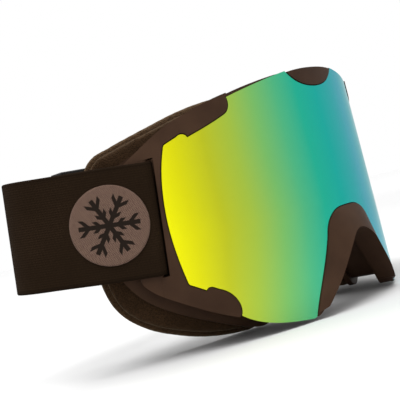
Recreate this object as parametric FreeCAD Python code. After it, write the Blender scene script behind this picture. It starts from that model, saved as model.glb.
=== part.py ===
"""Ski goggles: moulded frame, lift-off double lens, layered face foam, elastic strap with two adjusters.

Millimetres. +Z is up, the lens faces -Y and the wearer's face is on the +Y side.
The origin is on the axis of the cylindrical lens, at the lens's mid height.
"""
import FreeCAD
import Part
import math
import os

os.makedirs("parts", exist_ok=True)

Vector = FreeCAD.Vector
Vector2d = FreeCAD.Base.Vector2d

# ---- overall sizes -------------------------------------------------------
LENS_ARC = 162.0            # lens length measured round its curve
LENS_HEIGHT = 96.8          # lens height, top edge to bottom edge
LENS_RADIUS = 90.0          # outside of the outer lens, a plain cylinder
FACE_RADIUS = 116.0         # front of the face flange
FACE_AXIS_Y = 48.0          # where the axis of the face flange's curve stands

# ---- lenses --------------------------------------------------------------
OUTER_LENS_THICK = 1.2
INNER_LENS_THICK = 0.8
LENS_SPACING = 4.0          # still air between the two lenses
LENS_EDGE_GAP = 0.4         # running gap between lens edge and frame
LENS_SEAT_GAP = 0.2         # between the lens's back and its seat
INNER_LENS_GAP = 0.8        # between the inner lens's edge and the frame's window
SPACER_WIDTH = 4.5

# ---- frame ---------------------------------------------------------------
RIM_DEPTH = 5.8             # radial thickness of the rim and its side panels
PANEL_PROUD = 0.4           # how far the panels stand out past the lens surface
WALL_THICK = 2.2
WALL_SIDE_X = 65.5          # outside of the wall at the temples
FLANGE_THICK = 2.5
OVERLAP = 0.9               # how far fused features run into each other
CUT_PAST = 5.0              # cutting shapes run this far past what they cut

# ---- vents ---------------------------------------------------------------
VENT_FOAM_THICK = 2.0
VENT_LAP = 2.0              # the vent foam laps the wall round each window
TOP_VENT_X = (8.0, 38.0)
LOW_VENT_X = (37.0, 55.0)
SIDE_VENT_Z = (-12.0, 20.0)
VENT_EDGE = 1.6             # wall left in front of and behind each window
VENT_BAND_Z = 20.0          # the top and low windows lie beyond this height
VENT_BAND_X = 52.0          # the side windows lie beyond this width

# ---- face foam -----------------------------------------------------------
FOAM_BASE_THICK = 7.0
FOAM_MID_THICK = 5.0
FLEECE_THICK = 1.5
FOAM_WIDTH = 13.0
FOAM_BASE_INSET = 2.2
FLEECE_INSET = 1.2

# ---- strap ---------------------------------------------------------------
STRAP_WIDTH = 43.0
STRAP_THICK = 1.3
STRAP_GAP = 0.35            # between a ply and whatever it runs against
PLY_GAP = 0.25              # between two plies lying together
STRAP_TILT = 6.0            # degrees the strap climbs towards the back
STRAP_MID_Z = 4.3           # strap's mid height at the slot
SLOT_ARC = 82.7             # from the lens's middle to the slot's front edge, round the curve
BAR_THICK = 3.0
BAR_LENGTH = 9.0            # front to back
BAR_ROOT = 8.0              # how far the bar runs into the panels above and below
BAR_SUNK = 0.1              # the bar's front is this far below the panels
BAR_FLAT = 0.1              # left flat between the bar's rounded edges, on each side
SLOT_SIDE_GAP = 0.9         # between the strap's edges and the ends of the slot
SLOT_FRONT_GAP = 0.7
SIDE_RUN = 42.3             # straight strap behind the slot
FOLD_RADIUS = 14.0
LEVEL_RUN = 18.0            # length of the back over which the strap's lean dies out
MERGE_RUN = 17.0            # length over which the two plies come together
BADGE_DIAMETER = 30.4
BADGE_THICK = 0.5
BADGE_MID = 15.5            # behind the slot
BADGE_LIFT = 0.1            # between the badge and the ply under it

# ---- adjusters -----------------------------------------------------------
ADJUSTER_X = 52.0
ADJUSTER_LENGTH = 28.0
ADJUSTER_BAR = 4.0          # width of each cross bar
ADJUSTER_BAR_THICK = 1.8
ADJUSTER_RAIL = 1.9
ADJUSTER_END_GAP = 0.4      # between the strap's edges and the rails
ADJUSTER_FLAT = 0.2         # left flat between each cross bar's rounded edges, on each side
RAIL_ROUND = 0.6
TAIL_LENGTH = 15.0          # sewn end of the strap behind the adjuster's middle bar
BARTACK_LENGTH = 2.4
BARTACK_THICK = 0.6
BARTACK_MARGIN = 5.0
BARTACK_LIFT = 0.05         # between the stitches' block and the tail
GRIP_LINES = ("upper", "middle", "lower")
GRIP_PITCH = 12.0
GRIP_WIDTH = 2.4
GRIP_THICK = 0.6
GRIP_HALF_RUN = 26.0

# The outlines below are drawn for this lens and scaled to the one asked for.
DRAWN_ARC = 162.0
DRAWN_HEIGHT = 96.8
WIDTH_RATIO = LENS_ARC / DRAWN_ARC
HEIGHT_RATIO = LENS_HEIGHT / DRAWN_HEIGHT
STRAP_LEVEL = STRAP_MID_Z * HEIGHT_RATIO

# How many columns carry each stretch of the strap.
TURN_COLUMNS = 6
LOOP_COLUMNS = 8
TAIL_COLUMNS = 6
FOLD_COLUMNS = 14
OUTER_SIDE_COLUMNS = 14
LEVEL_COLUMNS = 7
OUTER_BACK_COLUMNS = 6
RETURN_SIDE_COLUMNS = 18
RETURN_BACK_COLUMNS = 4
FIRST_COLUMN = 2.0          # first column behind each turn

# Half outlines run clockwise from the top centre to the bottom centre on the wearer's left.
# Each run is one straight line (two points) or one smooth curve. Front ones are (arc, height).
LENS_HALF = (
    ((0.0, 40.8), (6.0, 41.4), (11.0, 43.0), (14.5, 45.3), (17.2, 48.2)),
    ((17.2, 48.2), (25.5, 46.8), (33.4, 45.3), (40.6, 43.8), (47.1, 42.3)),
    ((47.1, 42.3), (46.9, 40.2), (47.6, 37.8), (49.6, 36.0)),
    ((49.6, 36.0), (53.5, 34.5), (58.0, 33.0), (65.9, 30.7)),
    ((65.9, 30.7), (66.2, 31.4), (67.0, 32.1), (68.2, 32.4), (69.2, 32.2), (69.9, 31.8)),
    ((69.9, 31.8), (74.6, 30.2)),
    ((74.6, 30.2), (75.3, 29.8), (75.8, 28.8)),
    ((75.8, 28.8), (78.4, 20.7), (80.3, 10.2), (81.0, 0.0), (80.7, -9.0), (79.1, -22.0)),
    ((79.1, -22.0), (78.8, -22.9), (78.1, -23.4)),
    ((78.1, -23.4), (73.2, -26.5)),
    ((73.2, -26.5), (72.6, -26.0), (71.6, -25.7), (70.2, -26.1), (68.3, -27.3)),
    ((68.3, -27.3), (64.7, -29.8), (62.6, -33.0), (61.9, -36.2), (62.6, -39.2)),
    ((62.6, -39.2), (54.7, -43.9), (47.8, -46.1), (40.7, -47.5), (33.9, -48.4)),
    ((33.9, -48.4), (32.9, -48.1), (32.2, -47.0)),
    ((32.2, -47.0), (27.6, -38.4), (22.0, -28.8), (17.0, -19.2)),
    ((17.0, -19.2), (13.6, -13.3), (8.4, -10.0), (0.0, -9.2)),
)
RIM_HALF = (
    ((0.0, 48.7), (17.2, 47.6), (25.5, 46.0), (33.4, 44.5), (40.6, 43.0), (46.2, 41.8)),
    ((46.2, 41.8), (47.0, 43.9)),
    ((47.0, 43.9), (55.4, 42.2), (64.7, 39.6), (72.9, 36.9), (82.6, 32.0), (91.4, 27.0)),
    ((91.4, 27.0), (93.2, 25.0)),
    ((93.2, 25.0), (97.4, -14.0)),
    ((97.4, -14.0), (96.4, -17.4), (92.9, -22.2), (83.2, -29.0), (77.6, -32.4), (63.6, -39.6)),
    ((63.6, -39.6), (62.2, -38.3)),
    ((62.2, -38.3), (54.4, -43.1), (47.6, -45.3), (40.6, -46.7), (34.0, -47.5)),
    ((34.0, -47.5), (32.2, -48.0), (29.6, -47.0), (27.0, -44.8)),
    ((27.0, -44.8), (22.3, -39.7), (17.6, -34.6), (11.8, -27.6), (6.2, -21.4), (0.0, -19.2)),
)
# Ledge of the rim behind the lens's top edge, a little taller than the lens.
BROW_HALF = (
    ((0.0, 47.0), (17.2, 47.9), (25.5, 47.2), (33.4, 46.1), (40.6, 44.9), (46.8, 43.6)),
    ((46.8, 43.6), (46.8, 38.0)),
    ((46.8, 38.0), (0.0, 38.0)),
)
# Nose ridge: lens side (arc, height), nose side (arc, height), how far the nose side stands proud.
NOSE_RIDGE = (
    ((32.2, -47.0), (27.3, -45.5), 2.0),
    ((27.6, -38.4), (22.1, -40.1), 3.0),
    ((22.0, -28.8), (17.4, -35.0), 3.6),
    ((17.0, -19.2), (11.6, -28.0), 4.2),
    ((13.6, -13.3), (8.0, -23.9), 4.4),
    ((8.4, -10.0), (4.2, -20.9), 4.0),
    ((0.0, -9.2), (0.0, -19.7), 3.8),
)
WINDOW_HALF = (
    ((0.0, 35.5), (20.0, 36.4), (36.0, 33.0), (48.0, 28.0), (58.0, 24.6), (66.0, 20.6), (70.5, 12.0),
     (71.5, 0.0), (69.5, -11.0), (64.0, -20.0), (56.0, -29.0), (48.0, -35.4), (41.0, -37.6)),
    ((41.0, -37.6), (37.6, -36.6), (34.6, -33.0)),
    ((34.6, -33.0), (27.0, -19.0), (20.0, -6.6), (11.0, -1.4), (0.0, -0.4)),
)
# Outlines seen from the front are (x, height).
WALL_HALF = (
    ((0.0, 43.4), (20.0, 42.4), (36.0, 39.6), (48.0, 36.2), (57.0, 32.6), (63.0, 27.0), (WALL_SIDE_X, 18.0),
     (WALL_SIDE_X, 6.0), (WALL_SIDE_X, -6.0), (WALL_SIDE_X, -17.0), (64.0, -27.0), (59.0, -34.4),
     (51.0, -39.6), (42.0, -43.0)),
    ((42.0, -43.0), (36.0, -44.4), (31.0, -43.0)),
    ((31.0, -43.0), (22.6, -34.0), (14.6, -25.6), (7.0, -17.8), (0.0, -15.6)),
)
OPENING_HALF = (
    ((0.0, 34.6), (20.0, 34.0), (36.0, 32.0), (48.0, 28.6), (56.0, 24.4), (60.4, 17.0), (61.3, 4.0),
     (60.6, -8.0), (58.0, -19.0), (52.0, -28.0), (46.0, -33.6), (40.0, -36.4)),
    ((40.0, -36.4), (36.0, -36.6), (32.6, -33.4)),
    ((32.6, -33.4), (25.0, -24.0), (17.0, -15.0), (9.0, -8.8), (0.0, -7.0)),
)
FLANGE_HALF = (
    ((0.0, 42.6), (20.0, 42.2), (38.0, 40.0), (54.0, 35.8), (63.0, 32.2), (70.0, 29.4), (77.0, 25.6)),
    ((77.0, 25.6), (80.6, 21.8), (82.6, 14.0), (83.0, 4.0), (82.6, -8.0), (80.6, -16.0), (77.0, -23.6)),
    ((77.0, -23.6), (73.0, -28.4), (66.0, -34.0), (59.0, -38.4), (50.0, -43.2), (41.0, -47.0)),
    ((41.0, -47.0), (34.6, -47.2), (29.6, -44.4)),
    ((29.6, -44.4), (21.0, -35.0), (13.4, -26.0), (6.4, -18.6), (0.0, -16.6)),
)
FOAM_HALF = (
    ((0.0, 47.4), (20.0, 47.0), (38.0, 45.4), (50.0, 43.0), (60.0, 40.3), (68.0, 38.1), (76.0, 35.4)),
    ((76.0, 35.4), (81.6, 32.6), (85.4, 25.0), (87.0, 12.0), (87.6, -2.0), (87.2, -15.0), (85.4, -25.0),
     (80.0, -34.0)),
    ((80.0, -34.0), (76.0, -37.6), (68.0, -42.2), (60.0, -45.4), (50.0, -47.8), (41.0, -48.8)),
    ((41.0, -48.8), (33.6, -48.4), (28.6, -44.4)),
    ((28.6, -44.4), (21.0, -35.0), (13.4, -25.6), (6.4, -17.6), (0.0, -15.2)),
)


def full_outline(half):
    """Mirror a half outline and join its first and last runs across the centre plane."""
    scaled = [[(a * WIDTH_RATIO, z * HEIGHT_RATIO) for a, z in run] for run in half]
    mirror = [[(-a, z) for a, z in reversed(run)] for run in reversed(scaled)]
    top = mirror[-1][:-1] + scaled[0]
    bottom = scaled[-1][:-1] + mirror[0]
    return [top] + scaled[1:-1] + [bottom] + mirror[1:-1]


def planar_wire(runs):
    """Closed wire of the outline in the XZ plane."""
    edges = []
    for run in runs:
        points = [Vector(a, 0.0, z) for a, z in run]
        if len(points) == 2:
            edges.append(Part.makeLine(points[0], points[1]))
        else:
            curve = Part.BSplineCurve()
            curve.interpolate(points)
            edges.append(curve.toShape())
    return Part.Wire(edges)


def run_normals(run):
    """Outward unit normals at each point of a clockwise run."""
    normals = []
    for i in range(len(run)):
        before = run[max(i - 1, 0)]
        after = run[min(i + 1, len(run) - 1)]
        length = math.hypot(after[0] - before[0], after[1] - before[1])
        normals.append(((before[1] - after[1]) / length, (after[0] - before[0]) / length))
    return normals


def offset_outline(runs, distance):
    """Outline moved outwards by distance (inwards when negative), with mitred corners."""
    normals = [run_normals(run) for run in runs]
    moved = []
    for i, run in enumerate(runs):
        points = [(p[0] + n[0] * distance, p[1] + n[1] * distance) for p, n in zip(run, normals[i])]
        for end, other in ((0, normals[i - 1][-1]), (-1, normals[(i + 1) % len(runs)][0])):
            own = normals[i][end]
            mitre = distance / (1.0 + own[0] * other[0] + own[1] * other[1])
            corner = run[end]
            points[end] = (corner[0] + (own[0] + other[0]) * mitre, corner[1] + (own[1] + other[1]) * mitre)
        moved.append(points)
    return moved


def arc_angle(value):
    """Angle of a length measured round the lens's curve."""
    return value / LENS_RADIUS


def face_angle(value):
    """Angle, on the face curve, of a distance measured from the front."""
    return math.asin(value / FACE_RADIUS)


def wrapped_curve(run, angle_of):
    """Curve of a run in the (angle, height) space of an upright cylinder."""
    if len(run) == 2:
        ends = [Vector2d(math.pi + angle_of(a), z) for a, z in run]
        return Part.Geom2d.Line2dSegment(ends[0], ends[1])
    curve = Part.Geom2d.BSplineCurve2d()
    curve.interpolate([Vector2d(a, z) for a, z in run])
    for i, pole in enumerate(curve.getPoles()):
        curve.setPole(i + 1, Vector2d(math.pi + angle_of(pole.x), pole.y))
    return curve


def shell_prism(runs, angle_of, inner, outer, axis_y=0.0):
    """Solid between two upright cylinders whose edges all point at the cylinders' axis."""
    rings = []
    faces = []
    for radius in (inner, outer):
        surface = Part.Cylinder()
        surface.Radius = radius
        edges = []
        for run in runs:
            edges.append(wrapped_curve(run, angle_of).toShape(surface))
        face = Part.Face(surface, Part.Wire(edges))
        face.validate()
        faces.append(face)
        rings.append(edges)
    for low, high in zip(rings[0], rings[1]):
        faces.append(Part.makeRuledSurface(low, high))
    shell = Part.makeShell(faces)
    shell.sewShape()
    solid = Part.Solid(shell)
    solid.fix(1e-5, 1e-5, 1e-4)
    solid.rotate(Vector(0, 0, 0), Vector(0, 0, 1), 90.0)
    solid.translate(Vector(0, axis_y, 0))
    return solid


def front_prism(runs, y_from, y_to):
    """Outline pushed straight back along Y."""
    face = Part.Face(planar_wire(runs))
    solid = face.extrude(Vector(0, y_to - y_from, 0))
    solid.translate(Vector(0, y_from, 0))
    return solid


def box(x, y, z):
    """Box from three (low, high) pairs."""
    return Part.makeBox(x[1] - x[0], y[1] - y[0], z[1] - z[0], Vector(x[0], y[0], z[0]))


def upright(radius, axis_y=0.0):
    """Cylinder about an upright axis, taller than anything it cuts."""
    return Part.makeCylinder(radius, 2.0 * LENS_HEIGHT, Vector(0, axis_y, -LENS_HEIGHT))


def mirror_x(shape):
    """Copy on the other side of the centre plane."""
    return shape.mirror(Vector(0, 0, 0), Vector(1, 0, 0))


# ---- strap path (built on -X, mirrored for +X) ---------------------------
TILT = math.radians(STRAP_TILT)
PANEL_OUTSIDE = LENS_RADIUS + PANEL_PROUD
BAR_MID_RADIUS = PANEL_OUTSIDE - BAR_SUNK - BAR_THICK / 2.0
TURN_RADIUS = BAR_THICK / 2.0 + STRAP_GAP + STRAP_THICK / 2.0
SLOT_ANGLE = SLOT_ARC * WIDTH_RATIO / LENS_RADIUS
BACKWARD = Vector(-math.cos(SLOT_ANGLE), math.sin(SLOT_ANGLE), 0)
OUTWARD = Vector(-math.sin(SLOT_ANGLE), -math.cos(SLOT_ANGLE), 0)
TURN_CENTRE_RUN = SLOT_FRONT_GAP + STRAP_THICK + STRAP_GAP + BAR_THICK / 2.0
TURN_CENTRE = OUTWARD * BAR_MID_RADIUS + BACKWARD * TURN_CENTRE_RUN
SIDE_START = TURN_CENTRE + OUTWARD * TURN_RADIUS
FOLD_ANGLE = math.atan2(BACKWARD.y, BACKWARD.x)
FOLD_CENTRE = SIDE_START + BACKWARD * SIDE_RUN - OUTWARD * FOLD_RADIUS
BACK_Y = FOLD_CENTRE.y + FOLD_RADIUS
FOLD_RUN = FOLD_ANGLE * FOLD_RADIUS
BACK_RUN = -FOLD_CENTRE.x
HALF_RUN = SIDE_RUN + FOLD_RUN + BACK_RUN
LEVEL_START = SIDE_RUN + FOLD_RUN + LEVEL_RUN


def level_at(run):
    """How far along its levelling stretch a place on the strap is, from 0 to 1."""
    return min(1.0, max(0.0, (run - SIDE_RUN - FOLD_RUN) / LEVEL_RUN))


def lean_at(run):
    """Sine of the strap's lean, which stays the same round the fold and dies out on the back."""
    return math.sin(TILT) * (1.0 + math.cos(math.pi * level_at(run))) / 2.0


def rise_at(run):
    """Height gained by the strap's middle at a distance behind the slot."""
    if run <= SIDE_RUN:
        return math.tan(TILT) * run
    if run <= SIDE_RUN + FOLD_RUN:
        return math.tan(TILT) * (SIDE_RUN + FOLD_RADIUS * math.sin((run - SIDE_RUN) / FOLD_RADIUS))
    part = level_at(run)
    dip = LEVEL_RUN * (part + math.sin(math.pi * part) / math.pi) / 2.0
    return math.tan(TILT) * (SIDE_RUN + FOLD_RADIUS * math.sin(FOLD_ANGLE) + BACKWARD.x * dip)


def plan_at(run, offset):
    """Plan point of the strap; offset is measured outwards from the outer ply's middle."""
    if run <= SIDE_RUN:
        return SIDE_START + BACKWARD * run + OUTWARD * offset
    if run <= SIDE_RUN + FOLD_RUN:
        turn = (run - SIDE_RUN) / FOLD_RADIUS
        cosine = math.cos(turn)
        sine = math.sin(turn)
        spoke = OUTWARD * cosine + BACKWARD * sine
        return FOLD_CENTRE + spoke * (FOLD_RADIUS + offset)
    return Vector(FOLD_CENTRE.x + run - SIDE_RUN - FOLD_RUN, BACK_Y + offset, 0)


def strap_point(run, offset, across):
    """Point on the strap: across is measured from its middle line, up the strap's width."""
    lean = lean_at(run)
    plan = plan_at(run, offset) - BACKWARD * (across * lean)
    return Vector(plan.x, plan.y, STRAP_LEVEL + rise_at(run) + across * math.sqrt(1.0 - lean * lean))


def turn_point(turn, offset, across):
    """Point on the strap's turn round the bar; turn 0 is outside, pi is inside."""
    spoke = OUTWARD * math.cos(turn) - BACKWARD * math.sin(turn)
    plan = TURN_CENTRE + spoke * (TURN_RADIUS + offset) - BACKWARD * (across * math.sin(TILT))
    return Vector(plan.x, plan.y, STRAP_LEVEL + across * math.cos(TILT))


def ribbon(columns):
    """Solid from columns of four corners: outer low, outer high, inner high, inner low."""
    places = [0.0]
    for before, after in zip(columns, columns[1:]):
        places.append(places[-1] + ((after[0] + after[2]) - (before[0] + before[2])).Length / 2.0)
    rails = []
    for corner in range(4):
        rail = Part.BSplineCurve()
        rail.interpolate(Points=[column[corner] for column in columns], Parameters=places)
        rails.append(rail)
    faces = []
    for i in range(4):
        rail = rails[i]
        surface = Part.BSplineSurface()
        surface.buildFromPolesMultsKnots([rail.getPoles(), rails[(i + 1) % 4].getPoles()], [2, 2],
                                         rail.getMultiplicities(), [0.0, 1.0], rail.getKnots(),
                                         False, False, 1, rail.Degree)
        faces.append(surface.toShape())
    for column in (columns[0], columns[-1]):
        for half in ((0, 1, 2, 0), (0, 2, 3, 0)):
            faces.append(Part.Face(Part.makePolygon([column[corner] for corner in half])))
    shell = Part.makeShell(faces)
    shell.sewShape()
    solid = Part.Solid(shell)
    solid.fix(1e-4, 1e-4, 1e-3)
    if solid.Volume < 0:
        solid.reverse()
    return solid


def column_at(point_of, place, mid, thick, side=1.0):
    """Four corners of the strap's section at one place, starting on the given side of its middle."""
    near = mid + side * thick / 2.0
    far = mid - side * thick / 2.0
    return (point_of(place, near, -HALF_WIDTH), point_of(place, near, HALF_WIDTH),
            point_of(place, far, HALF_WIDTH), point_of(place, far, -HALF_WIDTH))


def steps(start, end, count):
    """Evenly spaced values from start to end."""
    return [start + (end - start) * i / count for i in range(count + 1)]


HALF_WIDTH = STRAP_WIDTH / 2.0
RETURN_OFFSET_AT_BAR = -2.0 * TURN_RADIUS
RETURN_OFFSET = -(STRAP_THICK + PLY_GAP)
MERGE_AFTER_BAR = 1.0       # straight strap behind the bar before the two plies start to merge
BAR_CLEAR_RUN = BAR_LENGTH - BAR_THICK / 2.0 + MERGE_AFTER_BAR


def return_offset(run):
    """Middle of the return ply, measured outwards from the outer ply's middle."""
    if run <= BAR_CLEAR_RUN:
        return RETURN_OFFSET_AT_BAR
    if run >= BAR_CLEAR_RUN + MERGE_RUN:
        return RETURN_OFFSET
    part = (run - BAR_CLEAR_RUN) / MERGE_RUN
    ease = (1.0 - math.cos(math.pi * part)) / 2.0
    return RETURN_OFFSET_AT_BAR + (RETURN_OFFSET - RETURN_OFFSET_AT_BAR) * ease


def outer_ply():
    """Outer ply from the bar to the centre of the back, with its turn round the bar."""
    columns = [column_at(turn_point, t, 0.0, STRAP_THICK)
               for t in steps(math.pi / 2.0, 0.0, TURN_COLUMNS)]
    runs = steps(FIRST_COLUMN, SIDE_RUN, OUTER_SIDE_COLUMNS)
    runs += steps(SIDE_RUN, SIDE_RUN + FOLD_RUN, FOLD_COLUMNS)[1:]
    runs += steps(SIDE_RUN + FOLD_RUN, LEVEL_START, LEVEL_COLUMNS)[1:]
    runs += steps(LEVEL_START, HALF_RUN, OUTER_BACK_COLUMNS)[1:]
    columns += [column_at(strap_point, run, 0.0, STRAP_THICK) for run in runs]
    return ribbon(columns)


LOOP_RADIUS = ADJUSTER_BAR_THICK / 2.0 + STRAP_GAP + STRAP_THICK / 2.0
MIDDLE_BAR_Y = BACK_Y + RETURN_OFFSET - LOOP_RADIUS
BACK_MID_Z = STRAP_LEVEL + rise_at(HALF_RUN)
LOOP_CENTRE_X = -ADJUSTER_X + ADJUSTER_BAR / 2.0 - ADJUSTER_BAR_THICK / 2.0


def loop_point(turn, offset, across):
    """Point on the sewn end's turn round the adjuster's middle bar; turn 0 is next to the outer ply."""
    x = LOOP_CENTRE_X + math.sin(turn) * (LOOP_RADIUS + offset)
    y = MIDDLE_BAR_Y + math.cos(turn) * (LOOP_RADIUS + offset)
    return Vector(x, y, BACK_MID_Z + across)


def tail_point(run, offset, across):
    """Point on the sewn tail, which comes back to lie against the return ply."""
    part = min(1.0, max(0.0, run - ADJUSTER_BAR) / (TAIL_LENGTH - 2.0 * BARTACK_LENGTH - ADJUSTER_BAR))
    ease = (1.0 - math.cos(math.pi * part)) / 2.0
    lie = LOOP_RADIUS - ease * (2.0 * LOOP_RADIUS - STRAP_THICK - PLY_GAP)
    return Vector(LOOP_CENTRE_X - run, MIDDLE_BAR_Y - lie - offset, BACK_MID_Z + across)


def return_ply():
    """Inner ply from the bar's front, back along the strap, to its sewn end on the adjuster."""
    columns = [column_at(turn_point, t, 0.0, STRAP_THICK)
               for t in steps(math.pi / 2.0, math.pi, TURN_COLUMNS)]
    runs = steps(FIRST_COLUMN, SIDE_RUN, RETURN_SIDE_COLUMNS)
    runs += steps(SIDE_RUN, SIDE_RUN + FOLD_RUN, FOLD_COLUMNS)[1:]
    runs += steps(SIDE_RUN + FOLD_RUN, LEVEL_START, LEVEL_COLUMNS)[1:]
    runs += steps(LEVEL_START, HALF_RUN + LOOP_CENTRE_X, RETURN_BACK_COLUMNS)[1:]
    columns += [column_at(strap_point, run, return_offset(run), STRAP_THICK, -1.0) for run in runs]
    columns += [column_at(loop_point, t, 0.0, STRAP_THICK, -1.0)
                for t in steps(0.0, math.pi, LOOP_COLUMNS)[1:]]
    columns += [column_at(tail_point, run, 0.0, STRAP_THICK, -1.0)
                for run in steps(0.0, TAIL_LENGTH, TAIL_COLUMNS)[1:]]
    return ribbon(columns)


def tilted_bar(run_from, run_to, radius_from, radius_to, across_from, across_to):
    """Block beside the slot, square to the tilted strap, between two distances from the lens axis."""
    corners = []
    for run, radius in ((run_from, radius_from), (run_to, radius_from), (run_to, radius_to),
                        (run_from, radius_to)):
        plan = OUTWARD * radius + BACKWARD * (run - across_from * math.sin(TILT))
        height = STRAP_LEVEL + across_from * math.cos(TILT)
        corners.append(Vector(plan.x, plan.y, height))
    face = Part.Face(Part.makePolygon(corners + [corners[0]]))
    length = across_to - across_from
    sweep = Vector(0, 0, length * math.cos(TILT)) - BACKWARD * (length * math.sin(TILT))
    return face.extrude(sweep)


# ---- frame ---------------------------------------------------------------
RIM_INSIDE = LENS_RADIUS - RIM_DEPTH
LENS_SEAT = LENS_RADIUS - OUTER_LENS_THICK - LENS_SEAT_GAP
FLANGE_BACK = FACE_RADIUS - FLANGE_THICK
FRONT_Y = -LENS_RADIUS - CUT_PAST
REAR_Y = CUT_PAST           # behind everything that is cut or pushed back from the front

lens_outline = full_outline(LENS_HALF)
rim_outline = full_outline(RIM_HALF)
brow_outline = full_outline(BROW_HALF)
window_outline = full_outline(WINDOW_HALF)
wall_outline = full_outline(WALL_HALF)
flange_outline = full_outline(FLANGE_HALF)
opening_outline = full_outline(OPENING_HALF)
foam_outline = full_outline(FOAM_HALF)


def between_curves(shape, front_radius, back_radius):
    """Keep what lies behind the front cylinder and in front of the face curve."""
    return shape.common(upright(front_radius)).cut(upright(back_radius, FACE_AXIS_Y))


def wall_ring(outer_inset, inner_inset, front_radius, back_radius):
    """Upright ring following the wall, between two insets of its outline."""
    ring = front_prism(offset_outline(wall_outline, -outer_inset), FRONT_Y, REAR_Y)
    ring = ring.cut(front_prism(offset_outline(wall_outline, -inner_inset), FRONT_Y, REAR_Y))
    return between_curves(ring, front_radius, back_radius)


def vent_regions(grow):
    """Boxes round the vents: name, box, each grown by a lap."""
    top = (TOP_VENT_X[0] - grow, TOP_VENT_X[1] + grow)
    low = (LOW_VENT_X[0] - grow, LOW_VENT_X[1] + grow)
    side = (SIDE_VENT_Z[0] - grow, SIDE_VENT_Z[1] + grow)
    depth = (FRONT_Y, REAR_Y)
    regions = {"top": box(top, depth, (VENT_BAND_Z, LENS_HEIGHT)),
               "low": box(low, depth, (-LENS_HEIGHT, -VENT_BAND_Z)),
               "side": box((VENT_BAND_X, LENS_RADIUS), depth, side)}
    named = {}
    for place, region in regions.items():
        named[place + "_left"] = region
        named[place + "_right"] = mirror_x(region)
    return named


def on_lens(place, radius):
    """Point at an (arc, height) place of the lens and a distance from its axis."""
    angle = arc_angle(place[0] * WIDTH_RATIO)
    return Vector(radius * math.sin(angle), -radius * math.cos(angle), place[1] * HEIGHT_RATIO)


def nose_ridge():
    """Arch over the nose whose face rises from the lens's edge to a crest round the opening."""
    root = RIM_INSIDE + OVERLAP
    left = [(on_lens(lens, root), on_lens(lens, PANEL_OUTSIDE), on_lens(nose, PANEL_OUTSIDE + proud),
             on_lens(nose, root)) for lens, nose, proud in NOSE_RIDGE]
    right = [tuple(Vector(-corner.x, corner.y, corner.z) for corner in column) for column in left]
    return ribbon(left + right[-2::-1])


def make_frame():
    """Rim, side panels, nose bridge, wall, face flange and strap bars in one moulding."""
    rim = shell_prism(rim_outline, arc_angle, RIM_INSIDE, PANEL_OUTSIDE)
    rim = rim.fuse([nose_ridge(), shell_prism(brow_outline, arc_angle, RIM_INSIDE, LENS_SEAT)])
    rim = rim.cut(shell_prism(window_outline, arc_angle, RIM_INSIDE - CUT_PAST, PANEL_OUTSIDE + CUT_PAST))
    pocket = offset_outline(lens_outline, LENS_EDGE_GAP)
    rim = rim.cut(shell_prism(pocket, arc_angle, LENS_SEAT, PANEL_OUTSIDE + CUT_PAST))
    strap_zone = HALF_WIDTH + SLOT_SIDE_GAP
    slot_front = RIM_INSIDE - 2.0 * CUT_PAST
    slot_back = PANEL_OUTSIDE + 2.0 * CUT_PAST
    zone = tilted_bar(0.0, SIDE_RUN, slot_front, slot_back, -strap_zone, strap_zone)
    bar_front = TURN_CENTRE_RUN - BAR_THICK / 2.0
    bar = tilted_bar(bar_front, bar_front + BAR_LENGTH, BAR_MID_RADIUS - BAR_THICK / 2.0,
                     BAR_MID_RADIUS + BAR_THICK / 2.0, -strap_zone - BAR_ROOT, strap_zone + BAR_ROOT)
    along = [e for e in bar.Edges if e.Length > 2.0 * strap_zone]
    bar = bar.makeFillet(BAR_THICK / 2.0 - BAR_FLAT, along)
    bar = bar.common(shell_prism(rim_outline, arc_angle, RIM_INSIDE - CUT_PAST, PANEL_OUTSIDE + CUT_PAST))
    for side in (zone, mirror_x(zone)):
        rim = rim.cut(side)
    wall = wall_ring(0.0, WALL_THICK, RIM_INSIDE + OVERLAP, FACE_RADIUS - OVERLAP)
    windows = vent_regions(0.0)
    for region in windows.values():
        wall = wall.cut(between_curves(region, RIM_INSIDE - VENT_EDGE, FACE_RADIUS + VENT_EDGE))
    flange = shell_prism(flange_outline, face_angle, FLANGE_BACK, FACE_RADIUS, FACE_AXIS_Y)
    flange = flange.cut(shell_prism(opening_outline, face_angle, FLANGE_BACK - CUT_PAST,
                                    FACE_RADIUS + CUT_PAST, FACE_AXIS_Y))
    return rim.fuse([bar, mirror_x(bar), wall, flange]).removeSplitter()


def make_lenses():
    """Outer lens, spacer and inner lens, glued together as one pane."""
    outer_back = LENS_RADIUS - OUTER_LENS_THICK
    inner_front = outer_back - LENS_SPACING
    inner_outline = offset_outline(window_outline, -INNER_LENS_GAP)
    outer = shell_prism(lens_outline, arc_angle, outer_back, LENS_RADIUS)
    inner = shell_prism(inner_outline, arc_angle, inner_front - INNER_LENS_THICK, inner_front)
    spacer = shell_prism(inner_outline, arc_angle, inner_front, outer_back)
    hole = offset_outline(inner_outline, -SPACER_WIDTH)
    spacer = spacer.cut(shell_prism(hole, arc_angle, inner_front - CUT_PAST, outer_back + CUT_PAST))
    return {"lens_outer": outer, "lens_spacer": spacer, "lens_inner": inner}


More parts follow.
